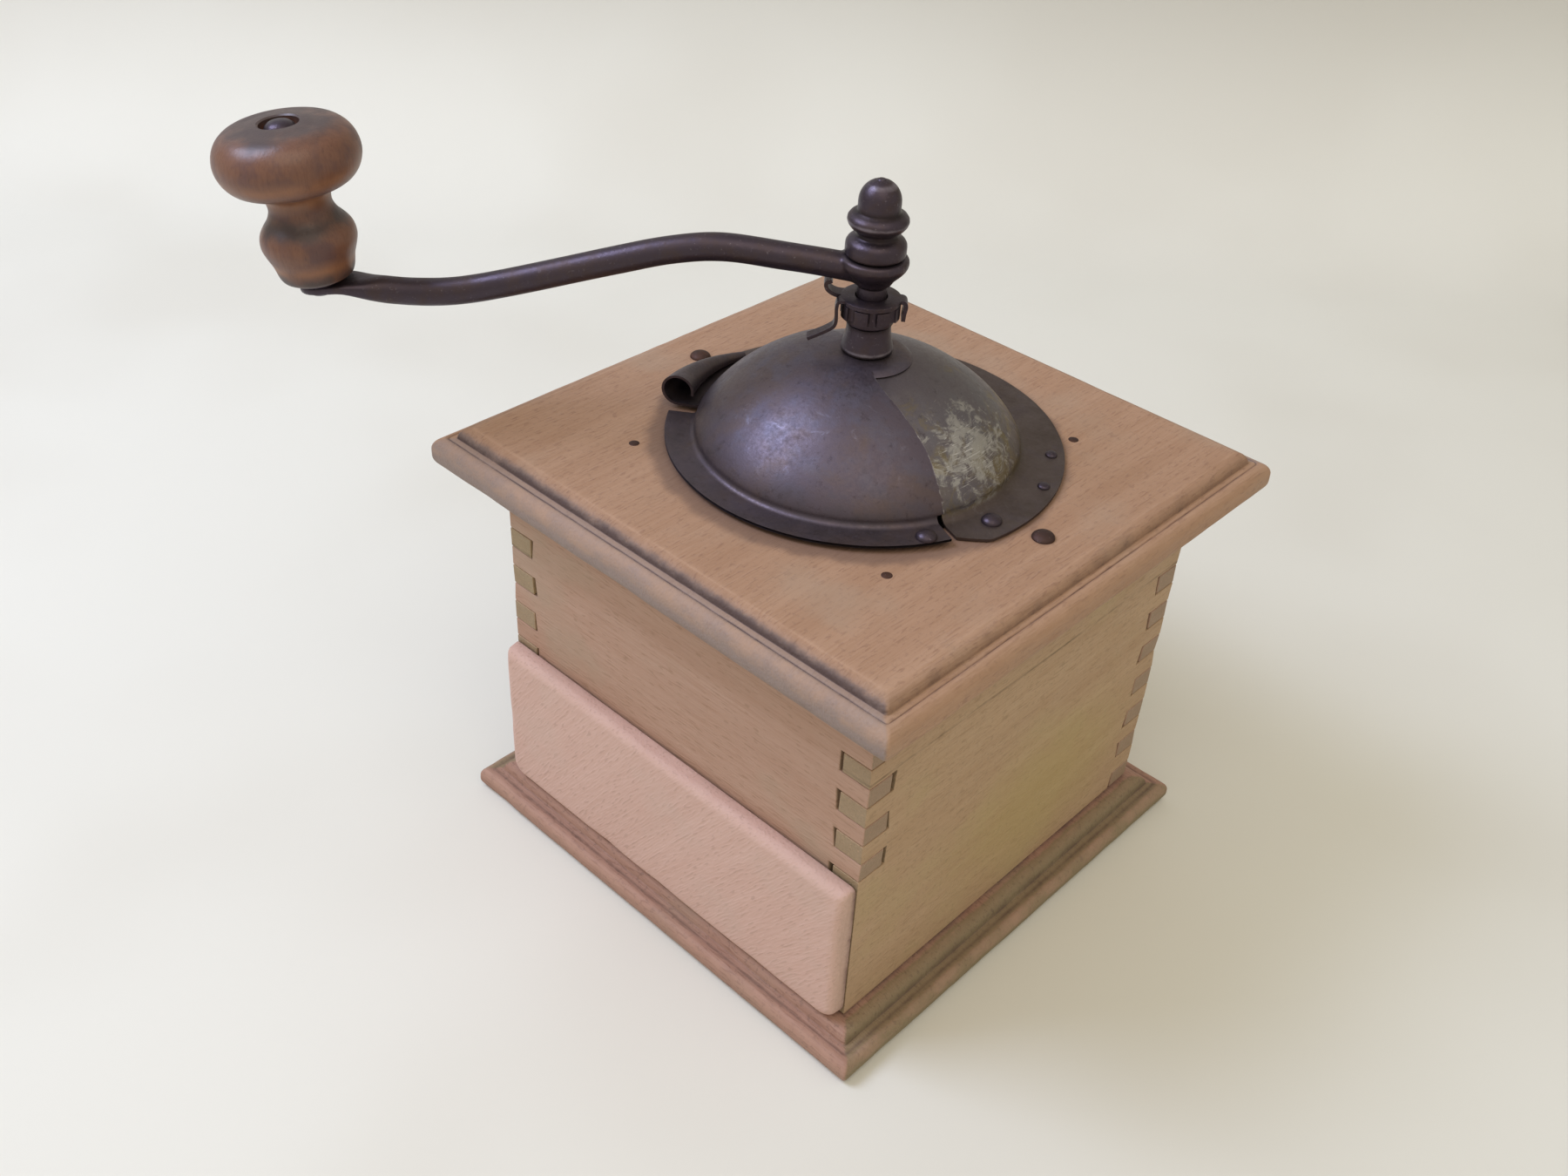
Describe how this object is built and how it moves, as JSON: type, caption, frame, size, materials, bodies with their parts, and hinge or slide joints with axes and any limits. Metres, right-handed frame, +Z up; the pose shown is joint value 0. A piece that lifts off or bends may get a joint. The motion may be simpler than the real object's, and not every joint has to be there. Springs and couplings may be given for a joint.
{
  "type": "hand crank coffee grinder",
  "caption": "Box mill with a finger-jointed beech body, drawer, two-part sheet-metal dome with a turning hatch, bent crank with a turned knob and an adjustable burr spindle.",
  "frame": {"origin": "centre of the base board's underside, on the spindle's axis", "axes": "+Z up along the spindle; -Y is the drawer's side, which slides out that way; +X is to the right seen from the drawer"},
  "size_m": [0.2, 0.1886, 0.2044],
  "materials": {
    "beech_board": "hand-planed and oiled beech, worn pale on the edges, darker in the mouldings",
    "beech_wall": "old oiled beech with a satin finish and yellow-green stains low down",
    "sanded_beech": "bare sanded beech, matte and paler than the box",
    "plain_beech": "raw sawn beech, matte, seen only inside",
    "stained_beech": "turned and stained beech, satin, rubbed lighter on the bulges",
    "patinated_sheet": "drawn sheet steel, browned and rubbed, with worn bright patches",
    "dark_iron": "forged and turned iron with a purple-brown patina, satin",
    "cast_iron": "rough grey cast iron, oiled, matte"
  },
  "bodies": {
    "housing": {"base_board": "beech_board", "front_panel": "beech_wall", "back_panel": "beech_wall", "left_panel": "beech_wall", "right_panel": "beech_wall", "corner_block_1": "plain_beech", "corner_block_2": "plain_beech", "corner_block_3": "plain_beech", "corner_block_4": "plain_beech", "top_board": "beech_board", "dome_fixed_shell": "patinated_sheet", "flange_rivet": "dark_iron", "flange_nail_1": "dark_iron", "flange_nail_2": "dark_iron", "bearing_sleeve": "dark_iron", "sleeve_nut": "dark_iron", "hopper_bowl": "patinated_sheet", "burr_ring": "cast_iron", "lower_bridge": "dark_iron", "bridge_screw_1": "dark_iron", "bridge_screw_2": "dark_iron", "ring_bolt_1": "dark_iron", "ring_bolt_2": "dark_iron", "top_screw_left": "dark_iron", "top_screw_right": "dark_iron", "top_nail_1": "dark_iron", "top_nail_2": "dark_iron", "top_nail_3": "dark_iron", "top_nail_4": "dark_iron", "base_screw_1": "dark_iron", "base_screw_2": "dark_iron", "base_screw_3": "dark_iron", "base_screw_4": "dark_iron"},
    "drawer": {"drawer_front": "sanded_beech", "drawer_left_side": "plain_beech", "drawer_right_side": "plain_beech", "drawer_back": "plain_beech", "drawer_bottom": "plain_beech"},
    "lid": {"dome_lid": "patinated_sheet", "lid_stud": "dark_iron"},
    "latch": {"lock_plate": "dark_iron"},
    "nut": {"adjusting_nut": "dark_iron"},
    "spindle": {"spindle": "dark_iron", "burr_cone": "cast_iron", "crank_arm": "dark_iron", "acorn_nut": "dark_iron", "knob_pin": "dark_iron", "knob_washer": "dark_iron"},
    "knob": {"knob": "stained_beech"}
  },
  "joints": [
    {"name": "drawer_slide", "type": "slide", "parent": "housing", "child": "drawer", "axis": [0, -1, 0], "range_m": [0, 0.09]},
    {"name": "lid_turn", "type": "hinge", "parent": "housing", "child": "lid", "pos_m": [0, 0, 0.1283], "axis": [0, 0, -1], "range_deg": [0, 120]},
    {"name": "crank_turn", "type": "hinge", "parent": "housing", "child": "latch", "pos_m": [0, 0, 0.1679], "axis": [0, 0, 1], "continuous": true},
    {"name": "nut_turn", "type": "hinge", "parent": "latch", "child": "nut", "pos_m": [0, 0, 0.1645], "axis": [0, 0, -1], "range_deg": [0, 360]},
    {"name": "burr_lift", "type": "slide", "parent": "latch", "child": "spindle", "axis": [0, 0, 1], "range_m": [0, 0.001]},
    {"name": "knob_spin", "type": "hinge", "parent": "spindle", "child": "knob", "pos_m": [-0.10124, -0.0902, 0.16265], "axis": [-0.0858, -0.0765, 0.9934], "continuous": true}
  ],
  "couplings": [
    {"joint": "nut_turn", "follows": "burr_lift", "rad_per_m": 6283.2}
  ]
}
